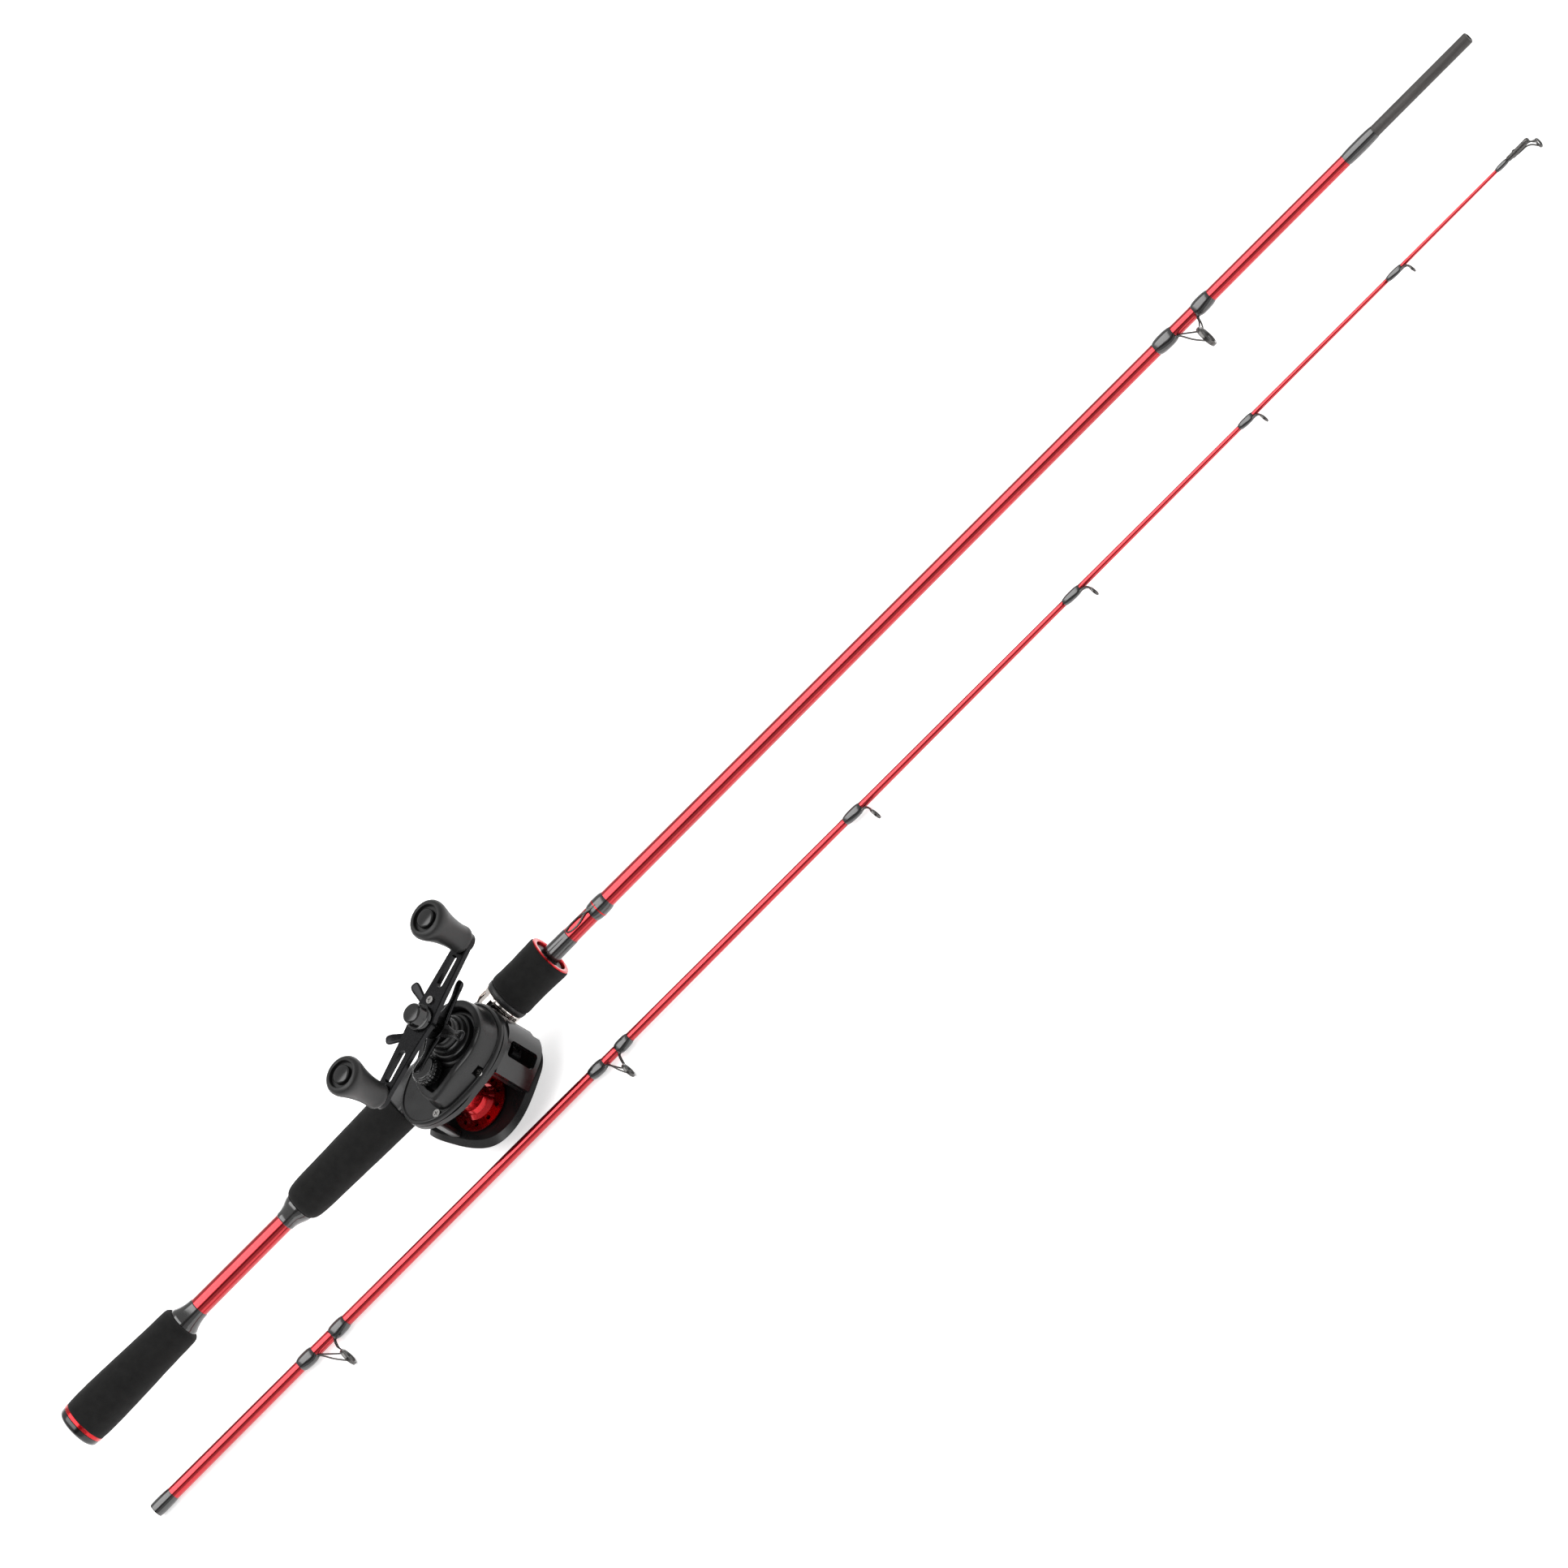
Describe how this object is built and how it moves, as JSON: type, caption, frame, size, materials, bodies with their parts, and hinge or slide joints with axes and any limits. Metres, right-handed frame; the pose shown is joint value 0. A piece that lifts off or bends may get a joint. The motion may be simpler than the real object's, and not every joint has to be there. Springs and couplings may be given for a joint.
{
  "type": "baitcasting rod and reel",
  "caption": "Jointed two-piece casting rod lying apart, with foam grips, line guides and a low-profile reel with double-knob crank, star drag and red spool.",
  "frame": {"origin": "where the spool's axis meets the flat outer face of the reel's palm cover, which is the face the combo rests on", "axes": "+Y towards the rod's tip, +X from the rod blank towards the top of the reel, +Z out of the handle side, up as it lies"},
  "size_m": [0.1044, 1.03, 0.119],
  "materials": {
    "blank_paint": "candy red clear-coated paint",
    "bare_carbon": "bare carbon, sanded",
    "foam_grip": "fine closed-cell foam",
    "black_gloss": "glossy black resin",
    "red_anodised": "red anodised, satin gloss",
    "seat_plastic": "fine-textured moulding",
    "guide_frame": "dark gunmetal plating",
    "guide_insert": "polished dark ceramic",
    "chrome_hood": "bright plated",
    "nut_plastic": "satin moulding",
    "reel_body": "satin black moulding",
    "reel_gloss": "semi-gloss black",
    "reel_metal": "black anodised",
    "bright_steel": "machined",
    "brass_gear": "cut gear brass",
    "drag_fibre": "fibre washer",
    "knob_rubber": "soft-touch moulding",
    "magnet": "nickel plated"
  },
  "bodies": {
    "butt_and_reel": {"butt_blank": "blank_paint", "ferrule_spigot": "bare_carbon", "butt_cap": "nut_plastic", "butt_trim_ring": "red_anodised", "rear_grip": "foam_grip", "rear_cone": "black_gloss", "mid_cone": "black_gloss", "mid_grip": "foam_grip", "reel_seat": "seat_plastic", "hook_keeper": "guide_frame", "butt_wraps": "black_gloss", "guide_1": "guide_frame", "guide_1_ring": "guide_insert", "reel_frame": "reel_body", "reel_foot": "bright_steel", "palm_cover": "reel_body", "handle_cover": "reel_body", "front_cover": "reel_gloss", "cover_screws": "bright_steel", "anti_reverse_bearing": "bright_steel", "ball_bearings": "bright_steel", "guide_bar": "bright_steel", "brake_magnets": "magnet"},
    "hood": {"moving_hood": "chrome_hood"},
    "fore_grip_nut": {"locking_nut": "nut_plastic", "fore_grip": "foam_grip", "fore_trim_ring": "red_anodised"},
    "tip_section": {"tip_blank": "blank_paint", "tip_wraps": "black_gloss", "guide_2": "guide_frame", "guide_3": "guide_frame", "guide_4": "guide_frame", "guide_5": "guide_frame", "guide_6": "guide_frame", "guide_7": "guide_frame", "tip_top": "guide_frame", "tip_guide_rings": "guide_insert"},
    "crank": {"drive_shaft": "bright_steel", "main_gear": "brass_gear", "cog_gear": "brass_gear", "drag_washers": "drag_fibre", "handle_arm": "reel_metal", "handle_nut_cap": "reel_gloss", "handle_screw": "bright_steel", "knob_spindles": "bright_steel"},
    "front_knob": {"knob_front": "knob_rubber", "knob_cap_front": "reel_gloss"},
    "rear_knob": {"knob_rear": "knob_rubber", "knob_cap_rear": "reel_gloss"},
    "star_wheel": {"star_drag": "reel_metal"},
    "spool_assembly": {"spool": "red_anodised", "spool_shaft": "bright_steel", "pinion_gear": "brass_gear"},
    "worm": {"worm_shaft": "bright_steel", "worm_gear": "brass_gear"},
    "line_guide_carriage": {"line_guide": "reel_gloss", "line_guide_eye": "guide_insert"},
    "thumb_release": {"thumb_bar": "reel_body"},
    "spool_tension": {"tension_cap": "reel_gloss"},
    "brake_control": {"brake_dial": "reel_gloss"}
  },
  "joints": [
    {"name": "crank_turn", "type": "hinge", "parent": "butt_and_reel", "child": "crank", "pos_m": [-0.006, 0.02, 0.06], "axis": [0, 0, 1], "continuous": true},
    {"name": "front_knob_spin", "type": "hinge", "parent": "crank", "child": "front_knob", "pos_m": [-0.0243, 0.06111, 0.1], "axis": [0, 0, 1], "continuous": true},
    {"name": "rear_knob_spin", "type": "hinge", "parent": "crank", "child": "rear_knob", "pos_m": [0.0123, -0.02111, 0.1], "axis": [0, 0, 1], "continuous": true},
    {"name": "star_drag_turn", "type": "hinge", "parent": "crank", "child": "star_wheel", "pos_m": [-0.006, 0.02, 0.075], "axis": [0, 0, 1], "range_deg": [-180, 180]},
    {"name": "spool_spin", "type": "hinge", "parent": "butt_and_reel", "child": "spool_assembly", "pos_m": [0, 0, 0.033], "axis": [0, 0, 1], "continuous": true},
    {"name": "worm_spin", "type": "hinge", "parent": "butt_and_reel", "child": "worm", "pos_m": [-0.01, 0.031, 0.033], "axis": [0, 0, 1], "continuous": true},
    {"name": "line_guide_travel", "type": "slide", "parent": "butt_and_reel", "child": "line_guide_carriage", "axis": [0, 0, 1], "range_m": [-0.0095, 0.0095]},
    {"name": "thumb_bar_press", "type": "slide", "parent": "butt_and_reel", "child": "thumb_release", "axis": [-1, 0, 0], "range_m": [0, 0.0035]},
    {"name": "tension_cap_turn", "type": "hinge", "parent": "butt_and_reel", "child": "spool_tension", "pos_m": [0, 0, 0.065], "axis": [0, 0, 1], "range_deg": [-360, 360]},
    {"name": "brake_dial_turn", "type": "hinge", "parent": "butt_and_reel", "child": "brake_control", "pos_m": [-0.013, 0.014, 0.002], "axis": [0, 0, 1], "range_deg": [0, 270]},
    {"name": "hood_travel", "type": "slide", "parent": "butt_and_reel", "child": "hood", "axis": [0, 1, 0], "range_m": [0, 0.0046]},
    {"name": "fore_grip_turn", "type": "hinge", "parent": "hood", "child": "fore_grip_nut", "pos_m": [-0.026, 0.06, 0.034], "axis": [0, 1, 0], "range_deg": [0, 1080]},
    {"name": "tip_section_parting", "type": "slide", "parent": "butt_and_reel", "child": "tip_section", "axis": [1, 0, 0], "range_m": [0, 0.06]}
  ],
  "couplings": [
    {"joint": "spool_spin", "follows": "crank_turn", "ratio": -6.3},
    {"joint": "worm_spin", "follows": "crank_turn", "ratio": -2},
    {"joint": "hood_travel", "follows": "fore_grip_turn", "m_per_rad": 0.00023873}
  ]
}
